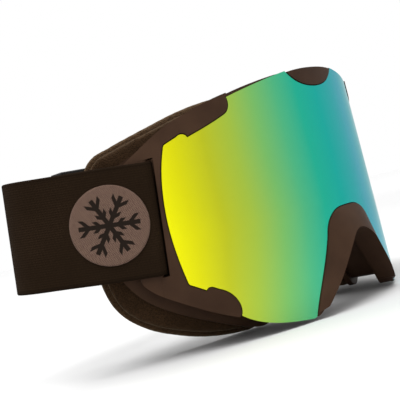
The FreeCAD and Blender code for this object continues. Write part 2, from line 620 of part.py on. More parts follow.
def make_face_foam():
    """Three foam layers glued one behind the other on the flange."""
    layers = (("foam_base", FOAM_BASE_THICK, FOAM_BASE_INSET), ("foam_middle", FOAM_MID_THICK, 0.0),
              ("foam_fleece", FLEECE_THICK, FLEECE_INSET))
    radius = FLANGE_BACK
    made = {}
    for name, thick, inset in layers:
        edge = offset_outline(foam_outline, -inset)
        hole = offset_outline(foam_outline, inset - FOAM_WIDTH)
        layer = shell_prism(edge, face_angle, radius - thick, radius, FACE_AXIS_Y)
        cutter = shell_prism(hole, face_angle, radius - thick - CUT_PAST, radius + CUT_PAST,
                             FACE_AXIS_Y)
        made[name] = layer.cut(cutter)
        radius -= thick
    return made


def make_vent_foam():
    """Thin foam strips glued inside the wall over each group of vents."""
    strip = wall_ring(WALL_THICK, WALL_THICK + VENT_FOAM_THICK, RIM_INSIDE - OVERLAP,
                      FACE_RADIUS + OVERLAP)
    return {"vent_foam_" + place: strip.common(region) for place, region in vent_regions(VENT_LAP).items()}


def make_adjuster():
    """Three-bar slider on the back of the strap: end bars outside, middle bar inside."""
    half = ADJUSTER_LENGTH / 2.0
    outside = BACK_Y + STRAP_THICK / 2.0 + STRAP_GAP
    inside = MIDDLE_BAR_Y - ADJUSTER_BAR_THICK / 2.0
    edge = HALF_WIDTH + ADJUSTER_END_GAP
    reach = (BACK_MID_Z - edge - OVERLAP, BACK_MID_Z + edge + OVERLAP)
    depth = (outside, outside + ADJUSTER_BAR_THICK)
    bars = []
    for middle in (-ADJUSTER_X - half + ADJUSTER_BAR / 2.0, -ADJUSTER_X + half - ADJUSTER_BAR / 2.0):
        bars.append(box((middle - ADJUSTER_BAR / 2.0, middle + ADJUSTER_BAR / 2.0), depth, reach))
    bars.append(box((-ADJUSTER_X - ADJUSTER_BAR / 2.0, -ADJUSTER_X + ADJUSTER_BAR / 2.0),
                    (inside, inside + ADJUSTER_BAR_THICK), reach))
    rounding = ADJUSTER_BAR_THICK / 2.0 - ADJUSTER_FLAT
    bars = [bar.makeFillet(rounding, [edge for edge in bar.Edges if edge.Length > STRAP_WIDTH])
            for bar in bars]
    rails = []
    for low in (BACK_MID_Z + edge, BACK_MID_Z - edge - ADJUSTER_RAIL):
        rail = box((-ADJUSTER_X - half, -ADJUSTER_X + half), (inside, outside + ADJUSTER_BAR_THICK),
                   (low, low + ADJUSTER_RAIL))
        rails.append(rail.makeFillet(RAIL_ROUND, rail.Edges))
    return rails[0].fuse([rails[1]] + bars).removeSplitter()


def make_bartack():
    """Raised row of stitching across the sewn tail."""
    run = TAIL_LENGTH - BARTACK_LENGTH
    surface = tail_point(TAIL_LENGTH, STRAP_THICK / 2.0 + BARTACK_LIFT, 0.0)
    x = LOOP_CENTRE_X - run
    half = HALF_WIDTH - BARTACK_MARGIN
    return box((x - BARTACK_LENGTH / 2.0, x + BARTACK_LENGTH / 2.0), (surface.y - BARTACK_THICK, surface.y),
               (BACK_MID_Z - half, BACK_MID_Z + half))


def make_badge():
    """Plain woven disc on the outer ply behind the slot."""
    centre = strap_point(BADGE_MID, STRAP_THICK / 2.0 + BADGE_LIFT, 0.0)
    return Part.makeCylinder(BADGE_DIAMETER / 2.0, BADGE_THICK, centre, OUTWARD)


def make_grip_lines():
    """Soft grip lines printed across the inside of the back of the strap."""
    face = BACK_Y - STRAP_THICK / 2.0
    lines = {}
    for i, name in enumerate(GRIP_LINES):
        middle = BACK_MID_Z + GRIP_PITCH * (1 - i)
        line = box((-GRIP_HALF_RUN, GRIP_HALF_RUN), (face - GRIP_THICK, face),
                   (middle - GRIP_WIDTH / 2.0, middle + GRIP_WIDTH / 2.0))
        lines["strap_grip_" + name] = line
    return lines


def main():
    """Write one STEP file per node."""
    nodes = {"frame_shell": make_frame()}
    nodes.update(make_lenses())
    nodes.update(make_face_foam())
    nodes.update(make_vent_foam())
    ply = outer_ply()
    nodes["strap_outer"] = ply.fuse(mirror_x(ply)).removeSplitter()
    pairs = {"strap_return": return_ply(), "adjuster": make_adjuster(), "bartack": make_bartack(),
             "badge": make_badge()}
    for name, shape in pairs.items():
        nodes[name + "_right"] = shape
        nodes[name + "_left"] = mirror_x(shape)
    nodes.update(make_grip_lines())
    for name, shape in nodes.items():
        shape = shape.Solids[0]
        shape.exportStep("parts/" + name + ".step")
        print(name, shape.ShapeType, len(shape.Solids), round(shape.Volume, 1), shape.isValid())


main()
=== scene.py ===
"""Ski goggles on a pale studio floor: finishes for the moulded parts, and cloth, foam and stitching."""

import logging
import math
from dataclasses import dataclass, field
from enum import Enum
from typing import Callable, ClassVar, Iterable, Optional, Sequence, Union

import bmesh
import bpy
from mathutils import Matrix, Vector


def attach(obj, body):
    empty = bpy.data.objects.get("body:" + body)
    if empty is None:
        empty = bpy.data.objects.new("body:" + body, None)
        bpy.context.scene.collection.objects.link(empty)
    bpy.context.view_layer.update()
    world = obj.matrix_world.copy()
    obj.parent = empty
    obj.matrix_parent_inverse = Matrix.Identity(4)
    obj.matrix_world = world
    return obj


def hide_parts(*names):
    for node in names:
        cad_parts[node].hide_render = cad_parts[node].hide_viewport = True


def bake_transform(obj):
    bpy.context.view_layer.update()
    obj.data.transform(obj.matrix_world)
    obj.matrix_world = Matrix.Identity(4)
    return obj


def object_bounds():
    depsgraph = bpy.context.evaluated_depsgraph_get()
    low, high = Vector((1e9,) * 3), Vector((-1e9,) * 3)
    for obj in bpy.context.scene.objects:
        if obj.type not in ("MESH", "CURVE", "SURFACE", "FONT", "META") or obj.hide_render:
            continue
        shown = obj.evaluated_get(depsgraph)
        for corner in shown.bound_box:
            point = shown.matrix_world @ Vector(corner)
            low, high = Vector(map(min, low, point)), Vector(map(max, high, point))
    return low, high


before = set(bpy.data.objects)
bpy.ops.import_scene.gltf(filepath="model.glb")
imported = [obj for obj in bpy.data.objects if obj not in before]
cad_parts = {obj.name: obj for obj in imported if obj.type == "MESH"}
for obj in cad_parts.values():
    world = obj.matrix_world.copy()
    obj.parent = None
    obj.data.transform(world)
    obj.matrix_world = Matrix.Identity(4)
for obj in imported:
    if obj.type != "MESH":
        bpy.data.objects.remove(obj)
cad_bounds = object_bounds()

log = logging.getLogger("goggles")
logging.basicConfig(level=logging.INFO, format="%(name)s: %(message)s")

Colour = tuple[float, float, float]
Number = Union[float, int]
MM = 0.001
LENS_RADIUS = 90.0 * MM


class Body(Enum):
    """The rigid bodies that pieces ride on."""

    GOGGLES = "goggles"
    LENS = "lens"
    ADJUSTER_LEFT = "adjuster_left"
    ADJUSTER_RIGHT = "adjuster_right"


class Side(Enum):
    """Which side of the wearer's head a piece is on; the value is the sign of its X."""

    LEFT = 1.0
    RIGHT = -1.0

    @property
    def word(self) -> str:
        """The side as node names spell it."""
        return self.name.lower()


def tint(red: int, green: int, blue: int) -> Colour:
    """Linear colour from display values.

    Args:
        red: Display red, 0 to 255.
        green: Display green, 0 to 255.
        blue: Display blue, 0 to 255.

    Returns:
        The same colour in linear light.
    """
    def linear(value: int) -> float:
        """One channel in linear light."""
        share = value / 255.0
        return share / 12.92 if share <= 0.04045 else ((share + 0.055) / 1.055) ** 2.4
    return linear(red), linear(green), linear(blue)


# ---- shader building -------------------------------------------------------


class Field:
    """A number that varies over a surface, with arithmetic that adds Math nodes."""

    def __init__(self, bench: "Bench", socket: bpy.types.NodeSocket) -> None:
        """Wrap one output socket."""
        self.bench = bench
        self.socket = socket

    def _math(self, operation: str, *others: Union["Field", Number], swap: bool = False,
              clamp: bool = False) -> "Field":
        """Add one Math node.

        Args:
            operation: The node's operation.
            others: The remaining operands.
            swap: Put this field second instead of first.
            clamp: Keep the result from 0 to 1.

        Returns:
            The node's result.
        """
        operands = [*others, self] if swap else [self, *others]
        node = self.bench.node("ShaderNodeMath", {"operation": operation, "use_clamp": clamp},
                               dict(enumerate(operands)))
        return Field(self.bench, node.outputs[0])

    def __add__(self, other: Union["Field", Number]) -> "Field":
        """Sum."""
        return self._math("ADD", other)

    __radd__ = __add__

    def __sub__(self, other: Union["Field", Number]) -> "Field":
        """Difference."""
        return self._math("SUBTRACT", other)

    def __rsub__(self, other: Union["Field", Number]) -> "Field":
        """Reflected difference."""
        return self._math("SUBTRACT", other, swap=True)

    def __mul__(self, other: Union["Field", Number]) -> "Field":
        """Product."""
        return self._math("MULTIPLY", other)

    __rmul__ = __mul__

    def __truediv__(self, other: Union["Field", Number]) -> "Field":
        """Quotient."""
        return self._math("DIVIDE", other)

    def __pow__(self, other: Number) -> "Field":
        """Power."""
        return self._math("POWER", other)

    def __abs__(self) -> "Field":
        """Size without sign."""
        return self._math("ABSOLUTE")

    def low(self, other: Union["Field", Number]) -> "Field":
        """The smaller of the two."""
        return self._math("MINIMUM", other)

    def high(self, other: Union["Field", Number]) -> "Field":
        """The larger of the two."""
        return self._math("MAXIMUM", other)

    def sine(self) -> "Field":
        """Sine, in radians."""
        return self._math("SINE")

    def angle_from(self, other: "Field") -> "Field":
        """Angle of the point (other, self)."""
        return self._math("ARCTAN2", other)

    def fold(self, size: float) -> "Field":
        """Triangle wave that goes up to size and back."""
        return self._math("PINGPONG", size)

    def step(self, start: float, end: float) -> "Field":
        """Smooth step.

        Args:
            start: Where the result is 0.
            end: Where the result is 1.

        Returns:
            The step.
        """
        node = self.bench.node("ShaderNodeMapRange", {"interpolation_type": "SMOOTHSTEP"},
                               {0: self, 1: start, 2: end, 3: 0.0, 4: 1.0})
        return Field(self.bench, node.outputs[0])


Link = Union[Field, bpy.types.NodeSocket, Number, Sequence[float]]


class Bench:
    """Builds the node tree of one material."""

    def __init__(self, name: str) -> None:
        """Start a material with one Principled shader."""
        self.material = bpy.data.materials.new(name)
        self.material.use_nodes = True
        self.tree = self.material.node_tree
        self.tree.nodes.clear()
        output = self.tree.nodes.new("ShaderNodeOutputMaterial")
        self.shader = self.tree.nodes.new("ShaderNodeBsdfPrincipled")
        self.tree.links.new(self.shader.outputs[0], output.inputs[0])
        self.place = self.node("ShaderNodeTexCoord").outputs["Object"]

    def node(self, kind: str, settings: Optional[dict] = None,
             sockets: Optional[dict[Union[int, str], Link]] = None) -> bpy.types.Node:
        """Add any node.

        Args:
            kind: The node's type.
            settings: Properties set before the sockets; "stops" fills a ramp.
            sockets: Values or links by socket index or name.

        Returns:
            The new node.
        """
        node = self.tree.nodes.new(kind)
        for name, value in (settings or {}).items():
            if name == "stops":
                self._fill_ramp(node.color_ramp, value)
            else:
                setattr(node, name, value)
        for key, value in (sockets or {}).items():
            self.feed(node.inputs[key], value)
        return node

    @staticmethod
    def _fill_ramp(ramp: bpy.types.ColorRamp, stops: Sequence[tuple[float, Colour]]) -> None:
        """Give a ramp its stops.

        Args:
            ramp: The ramp to fill.
            stops: Position and colour of each stop.
        """
        while len(ramp.elements) < len(stops):
            ramp.elements.new(0.5)
        for element, (position, colour) in zip(ramp.elements, stops):
            element.position = position
            element.color = (*colour, 1.0)

    def feed(self, socket: bpy.types.NodeSocket, value: Link) -> None:
        """Set a socket's value, or link it.

        Args:
            socket: The input socket.
            value: A number, a colour or vector, or something to link.
        """
        if isinstance(value, Field):
            self.tree.links.new(value.socket, socket)
        elif isinstance(value, bpy.types.NodeSocket):
            self.tree.links.new(value, socket)
        elif isinstance(value, (int, float)):
            socket.default_value = value
        elif len(value) == 3 and len(socket.default_value) == 4:
            socket.default_value = (*value, 1.0)
        else:
            socket.default_value = tuple(value)

    def parts(self, vector: bpy.types.NodeSocket) -> tuple[Field, Field, Field]:
        """The three numbers of a vector."""
        node = self.node("ShaderNodeSeparateXYZ", None, {0: vector})
        return tuple(Field(self, output) for output in node.outputs)

    def band(self) -> tuple[Field, Field, Field]:
        """Place on a woven piece: along it, across it and round its edge, in millimetres."""
        return self.parts(self.node("ShaderNodeAttribute", {"attribute_name": "weave"}).outputs["Vector"])

    def stretched(self, scale: Sequence[float]) -> bpy.types.NodeSocket:
        """Object place multiplied by a scale for each axis.

        Args:
            scale: Factor for each axis.

        Returns:
            The scaled place.
        """
        node = self.node("ShaderNodeVectorMath", {"operation": "MULTIPLY"}, {0: self.place, 1: scale})
        return node.outputs[0]

    def noise(self, scale: float, detail: float = 2.0, rough: float = 0.5,
              place: Optional[bpy.types.NodeSocket] = None) -> Field:
        """Cloudy noise, about 0.5 on average.

        Args:
            scale: Lumps per metre.
            detail: Octaves.
            rough: Strength of the finer octaves.
            place: Where it is read; the object's own place if left out.

        Returns:
            The noise.
        """
        node = self.node("ShaderNodeTexNoise", None, {"Vector": place or self.place, "Scale": scale,
                                                      "Detail": detail, "Roughness": rough})
        return Field(self, node.outputs[0])

    def pores(self, scale: float) -> Field:
        """Distance to the nearest cell centre of a foam's open cells."""
        node = self.node("ShaderNodeTexVoronoi", None, {"Vector": self.place, "Scale": scale})
        return Field(self, node.outputs["Distance"])

    def mix(self, amount: Union[Field, float], first: Link, second: Link,
            blend: str = "MIX") -> bpy.types.NodeSocket:
        """Mix two colours.

        Args:
            amount: 0 for the first, 1 for the second.
            first: Colour at 0.
            second: Colour at 1.
            blend: How the second lies on the first.

        Returns:
            The mixed colour.
        """
        node = self.node("ShaderNodeMix", {"data_type": "RGBA", "blend_type": blend},
                         {0: amount, 6: first, 7: second})
        return node.outputs[2]

    def relief(self, height: Field, depth: float, strength: float = 1.0) -> None:
        """Bump the surface by a height from 0 to 1 that stands depth metres."""
        bump = {"Strength": strength, "Distance": depth, "Height": height}
        self.feed(self.shader.inputs["Normal"], self.node("ShaderNodeBump", None, bump).outputs[0])

    def set(self, **sockets: Link) -> None:
        """Feed the shader's sockets; underscores stand for spaces."""
        for name, value in sockets.items():
            self.feed(self.shader.inputs[name.replace("_", " ")], value)


class Finish:
    """A material that can be put on any number of pieces."""

    name: str
    made: ClassVar[dict["Finish", bpy.types.Material]] = {}

    def paint(self, bench: Bench) -> None:
        """Build the node tree."""
        raise NotImplementedError

    def material(self) -> bpy.types.Material:
        """The finish's material, made once."""
        if self not in Finish.made:
            bench = Bench(self.name)
            self.paint(bench)
            Finish.made[self] = bench.material
        return Finish.made[self]

    def dress(self, piece: bpy.types.Object) -> None:
        """Put this finish on every slot of a piece.

        Args:
            piece: The piece, or a CAD node's object.
        """
        if not piece.data.materials:
            piece.data.materials.append(self.material())
        for place in piece.material_slots:
            place.link = "OBJECT"
            place.material = self.material()


@dataclass(frozen=True)
class SoftMoulding(Finish):
    """Matte moulded polyurethane with a fine eroded texture and a faint bloom."""

    name: str = "frame_moulding"
    base: Colour = tint(60, 42, 30)
    dark: Colour = tint(48, 32, 22)
    roughness: float = 0.55
    grain_scale: float = 5200.0
    grain_depth: float = 0.00004

    def paint(self, bench: Bench) -> None:
        """Fine grain, cloudy bloom and slightly uneven gloss."""
        cloud = bench.noise(55.0, 4.0)
        grain = bench.noise(self.grain_scale, 1.0)
        colour = bench.mix(cloud.step(0.3, 0.75), self.dark, self.base)
        bench.set(Base_Color=bench.mix(grain.step(0.45, 0.9) * 0.22, colour, tint(78, 58, 42)),
                  Roughness=cloud * 0.16 + (self.roughness - 0.08))
        bench.shader.inputs["Specular IOR Level"].default_value = 0.07
        bench.relief(grain, self.grain_depth, 0.5)


@dataclass(frozen=True)
class MirrorLens(Finish):
    """Mirror coating whose colour change with viewing angle is painted by place: a painted reflection
    colour from yellow at one temple through green to blue, with dark green edges.
    """

    name: str = "lens_mirror_coating"
    blue_at: float = 22.0
    reach: float = 104.0
    edge: Colour = tint(8, 74, 40)
    stops: tuple[tuple[float, Colour], ...] = (
        (0.0, tint(74, 160, 170)), (0.11, tint(52, 163, 160)), (0.22, tint(22, 165, 152)),
        (0.34, tint(32, 171, 142)), (0.45, tint(78, 178, 126)), (0.56, tint(118, 184, 100)),
        (0.68, tint(160, 188, 64)), (0.79, tint(184, 190, 32)), (0.90, tint(216, 214, 10)),
        (1.0, tint(240, 238, 2)))

    def paint(self, bench: Bench) -> None:
        """Painted reflection colour by the length round the lens; the cut edges show the tinted sheet."""
        x, y, z = bench.parts(bench.place)
        arc = x.angle_from(0.0 - y) * (LENS_RADIUS / MM)
        wander = (bench.noise(18.0, 1.0) - 0.5) * 3.0
        climb = (z / MM + 6.0).low(0.0) * 0.2
        # Painted reflection: the coating's shift of colour with viewing angle is laid on by place round the
        # lens and by height.
        reflection_hue_place = (abs(arc - self.blue_at) + climb + wander) / self.reach
        ramp = bench.node("ShaderNodeValToRGB", {"stops": self.stops}, {0: reflection_hue_place})
        normal = bench.node("ShaderNodeTexCoord").outputs["Normal"]
        outward = bench.node("ShaderNodeVectorMath", {"operation": "NORMALIZE"},
                             {0: bench.stretched((1.0, 1.0, 0.0))})
        facing = bench.node("ShaderNodeVectorMath", {"operation": "DOT_PRODUCT"},
                            {0: normal, 1: outward.outputs[0]})
        rim = 1.0 - Field(bench, facing.outputs["Value"]).step(0.3, 0.75)
        smear = bench.noise(30.0, 3.0)
        bench.set(Base_Color=bench.mix(rim, ramp.outputs[0], self.edge), Metallic=0.92 - rim * 0.7,
                  Roughness=smear.step(0.35, 0.8) * 0.05 + 0.2)
        bench.shader.inputs["Specular Tint"].default_value = (*tint(182, 218, 230), 1.0)
        bench.shader.inputs["Coat Weight"].default_value = 0.08
        bench.shader.inputs["Coat Roughness"].default_value = 0.06


@dataclass(frozen=True)
class ClearPane(Finish):
    """Inner pane with a smoke tint."""

    name: str = "lens_inner_pane"
    base: Colour = tint(108, 112, 96)

    def paint(self, bench: Bench) -> None:
        """Tinted gloss with a faint wiped haze."""
        haze = bench.noise(40.0, 3.0)
        bench.set(Base_Color=bench.mix(haze, self.base, tint(90, 100, 84)), Roughness=haze * 0.06 + 0.07)
        bench.shader.inputs["Coat Weight"].default_value = 0.5


@dataclass(frozen=True)
class FoamFinish(Finish):
    """Open-cell foam."""

    name: str = "foam_middle"
    base: Colour = tint(36, 23, 12)
    light: Colour = tint(72, 53, 36)
    cell_scale: float = 1500.0
    cell_depth: float = 0.00035
    fuzz: float = 0.35

    def paint(self, bench: Bench) -> None:
        """Cells as pits painted dark (painted shade), lighter cell walls and uneven dye."""
        cells = bench.pores(self.cell_scale).step(0.15, 0.75)
        fine = bench.pores(self.cell_scale * 2.3).step(0.2, 0.8)
        cloud = bench.noise(140.0, 4.0)
        # Painted shade in the open cells' pits, lighter on the cell walls, with uneven dye from the cloud.
        pit_shade_and_dye = (cells * 0.6 + fine * 0.4) * (cloud * 0.8 + 0.35)
        bench.set(Base_Color=bench.mix(pit_shade_and_dye, self.base, self.light), Roughness=1.0 - pit_shade_and_dye * 0.12)
        bench.shader.inputs["Sheen Weight"].default_value = self.fuzz
        bench.shader.inputs["Sheen Roughness"].default_value = 0.5
        bench.shader.inputs["Sheen Tint"].default_value = (*tint(200, 180, 150), 1.0)
        bench.shader.inputs["Specular IOR Level"].default_value = 0.02
        bench.relief(cells * 0.7 + fine * 0.3, self.cell_depth, 0.8)


@dataclass(frozen=True)
class FleeceFinish(Finish):
    """Brushed fleece with a short nap."""

    name: str = "face_fleece"
    base: Colour = tint(42, 31, 22)
    light: Colour = tint(82, 68, 54)

    def paint(self, bench: Bench) -> None:
        """Nap in small swirls over a soft dye."""
        swirl = bench.noise(520.0, 5.0, 0.7)
        fine = bench.noise(4200.0, 3.0, 0.8)
        nap = swirl * 0.55 + fine * 0.45
        bench.set(Base_Color=bench.mix(nap.step(0.3, 0.75), self.base, self.light),
                  Roughness=nap * 0.1 + 0.88)
        bench.shader.inputs["Sheen Weight"].default_value = 0.7
        bench.shader.inputs["Sheen Roughness"].default_value = 0.4
        bench.shader.inputs["Specular IOR Level"].default_value = 0.05
        bench.relief(nap, 0.0005, 0.9)


@dataclass(frozen=True)
class WebbingFinish(Finish):
    """Woven elastic: ribs along the strap, fine picks across it and a closer edge."""

    name: str = "strap_webbing"
    base: Colour = tint(24, 16, 9)
    light: Colour = tint(42, 31, 21)
    rib_pitch: float = 0.9
    pick_pitch: float = 0.55
    half_width: float = 21.5

    def paint(self, bench: Bench) -> None:
        """Ribs and picks as relief, with painted highlight on the high points of the weave and painted
        shade in the low ones.
        """
        along, across, _ = bench.band()
        wobble = (bench.noise(600.0, 2.0) - 0.5) * 0.5
        rib = (across / self.rib_pitch * (2.0 * math.pi)).sine() * 0.5 + 0.5
        shift = (across / (self.rib_pitch * 2.0) * (2.0 * math.pi)).sine().step(-0.1, 0.1) * 0.5
        pick = ((along / self.pick_pitch + shift + wobble * 0.4) * (2.0 * math.pi)).sine() * 0.5 + 0.5
        thread = rib * 0.2 + pick * 0.3 + bench.noise(2200.0, 3.0, 0.7) * 0.75
        edge = abs(across).step(self.half_width - 1.8, self.half_width - 1.2)
        wear = bench.noise(45.0, 4.0).step(0.35, 0.8)
        # Painted light and wear: the thread colour follows the weave's height, lighter on the high points
        # and darker in the low ones, with random tone and wear mixed in.
        lit_and_worn = thread.step(0.35, 1.05) * (wear * 0.5 + 0.6)
        colour = bench.mix(lit_and_worn, self.base, self.light)
        bench.set(Base_Color=bench.mix(edge * 0.35, colour, tint(16, 10, 6)), Roughness=0.93 - lit_and_worn * 0.12)
        bench.shader.inputs["Specular IOR Level"].default_value = 0.02
        bench.relief(thread, 0.0002, 0.7)


@dataclass(frozen=True)
class BadgeFinish(Finish):
    """Woven disc in grey-brown thread with a plain six-armed flake left in the strap's colour."""

    name: str = "badge_weave"
    thread: Colour = tint(108, 86, 74)
    shade: Colour = tint(64, 48, 40)
    ground: Colour = tint(24, 16, 9)
    radius: float = 15.2

    def paint(self, bench: Bench) -> None:
        """Satin stitch in fine slanting rows, cut by the flake."""
        u, v, _ = bench.band()
        radial = (u * u + v * v) ** 0.5
        turn = v.angle_from(u)
        sector = turn.fold(math.pi / 6.0)
        along = radial * (sector + math.pi / 2.0).sine()
        aside = radial * sector.sine()
        arm = (1.0 - aside.step(0.75, 1.0)) * (1.0 - radial.step(self.radius - 3.6, self.radius - 3.3))
        barb_out = abs(along - aside * 1.0 - 7.6).step(0.8, 1.1)
        barb_in = abs(along - aside * 1.0 - 3.4).step(0.8, 1.1)
        reach_out = aside.step(3.0, 3.3)
        reach_in = aside.step(2.0, 2.3)
        barbs = ((1.0 - barb_out) * (1.0 - reach_out)).high((1.0 - barb_in) * (1.0 - reach_in))
        flake = arm.high(barbs)
        row = ((u * 0.5 + v) / 0.62 * (2.0 * math.pi)).sine() * 0.5 + 0.5
        cross = ((u - v * 0.4) / 0.8 * (2.0 * math.pi)).sine() * 0.5 + 0.5
        cloth = row * 0.25 + cross * 0.15 + bench.noise(1900.0, 4.0, 0.75) * 0.8
        woven = bench.mix(cloth.step(0.35, 0.85), self.shade, self.thread)
        bench.set(Base_Color=bench.mix(flake, woven, self.ground), Roughness=0.92 - cloth * 0.1)
        bench.shader.inputs["Sheen Weight"].default_value = 0.05
        bench.shader.inputs["Specular IOR Level"].default_value = 0.1
        bench.relief(cloth * 0.4 + (1.0 - flake) * 0.6, 0.0003, 0.8)


@dataclass(frozen=True)
class SliderPlastic(Finish):
    """Satin moulded plastic of the adjusters."""

    name: str = "adjuster_plastic"
    base: Colour = tint(20, 17, 15)

    def paint(self, bench: Bench) -> None:
        """Light spark erosion and handling marks."""
        grain = bench.noise(3800.0, 2.0)
        marks = bench.noise(90.0, 5.0, 0.65)
        bench.set(Base_Color=bench.mix(marks.step(0.45, 0.8) * 0.5, self.base, tint(40, 35, 31)),
                  Roughness=0.36 + marks * 0.2)
        bench.shader.inputs["Specular IOR Level"].default_value = 0.2
        bench.relief(grain, 0.00003, 0.5)


@dataclass(frozen=True)
class GripRubber(Finish):
    """Soft printed grip lines."""

    name: str = "grip_rubber"
    base: Colour = tint(66, 52, 43)

    def paint(self, bench: Bench) -> None:
        """Tacky surface that holds a little lint."""
        lint = bench.noise(900.0, 4.0, 0.7).step(0.6, 0.75)
        bench.set(Base_Color=bench.mix(lint * 0.5, self.base, tint(112, 98, 84)),
                  Roughness=0.42 + lint * 0.4)
        bench.relief(bench.noise(1500.0, 2.0), 0.00008, 0.4)


@dataclass(frozen=True)
class ThreadFinish(Finish):
    """Bonded sewing thread."""

    name: str = "sewing_thread"
    base: Colour = tint(70, 52, 40)

    def paint(self, bench: Bench) -> None:
        """Twisted yarn with a slight shine."""
        twist = bench.noise(5200.0, 2.0)
        bench.set(Base_Color=bench.mix(twist, self.base, tint(104, 84, 68)), Roughness=0.55 + twist * 0.2)
        bench.relief(twist, 0.00008, 0.7)


@dataclass(frozen=True)
class StudioFloor(Finish):
    """Pale paper floor."""

    name: str = "studio_floor"

    def paint(self, bench: Bench) -> None:
        """White paper, a little greyer where the lamps shine on it."""
        x, y, _ = bench.parts(bench.place)
        outer = ((x * x + y * y) ** 0.5).step(0.4, 2.4)
        fibre = bench.mix(bench.noise(9.0), tint(190, 190, 190), tint(186, 186, 186))
        bench.set(Base_Color=bench.mix(outer, fibre, tint(252, 252, 252)), Roughness=0.95)
        bench.shader.inputs["Specular IOR Level"].default_value = 0.1


# ---- mesh building ---------------------------------------------------------


def new_piece(name: str, points: Sequence[Vector], faces: Iterable[Sequence[int]],
              weave: Optional[Sequence[Sequence[float]]] = None) -> bpy.types.Object:
    """Make a smooth mesh object at the origin.

    Args:
        name: Piece name.
        points: Points in the row frame, in metres.
        faces: Point numbers of each face.
        weave: Place of each point on the cloth, in millimetres.

    Returns:
        The new object.
    """
    mesh = bpy.data.meshes.new(name)
    mesh.from_pydata([tuple(p) for p in points], [], [tuple(f) for f in faces])
    mesh.validate()
    if weave is not None:
        attribute = mesh.attributes.new("weave", "FLOAT_VECTOR", "POINT")
        attribute.data.foreach_set("vector", [value for place in weave for value in place])
    piece = bpy.data.objects.new(name, mesh)
    bpy.context.scene.collection.objects.link(piece)
    work = bmesh.new()
    work.from_mesh(mesh)
    bmesh.ops.recalc_face_normals(work, faces=work.faces)
    work.to_mesh(mesh)
    work.free()
    mesh.shade_smooth()
    return piece


def tube_faces(rings: int, count: int, caps: bool = True) -> list[tuple[int, ...]]:
    """Faces that join rings of points into a tube.

    Args:
        rings: How many rings there are.
        count: Points in each ring.
        caps: Close both ends.

    Returns:
        The faces.
    """
    faces: list[tuple[int, ...]] = []
    for i in range(rings - 1):
        for j in range(count):
            k = (j + 1) % count
            faces.append((i * count + j, i * count + k, (i + 1) * count + k, (i + 1) * count + j))
    if caps:
        faces.append(tuple(range(count)))
        faces.append(tuple(range((rings - 1) * count, rings * count)))
    return faces


def spread(start: float, end: float, count: int) -> list[float]:
    """Evenly spaced values from start to end."""
    return [start + (end - start) * i / count for i in range(count + 1)]


def ease(share: float) -> float:
    """Smooth rise from 0 to 1."""
    share = min(1.0, max(0.0, share))
    return (1.0 - math.cos(math.pi * share)) / 2.0


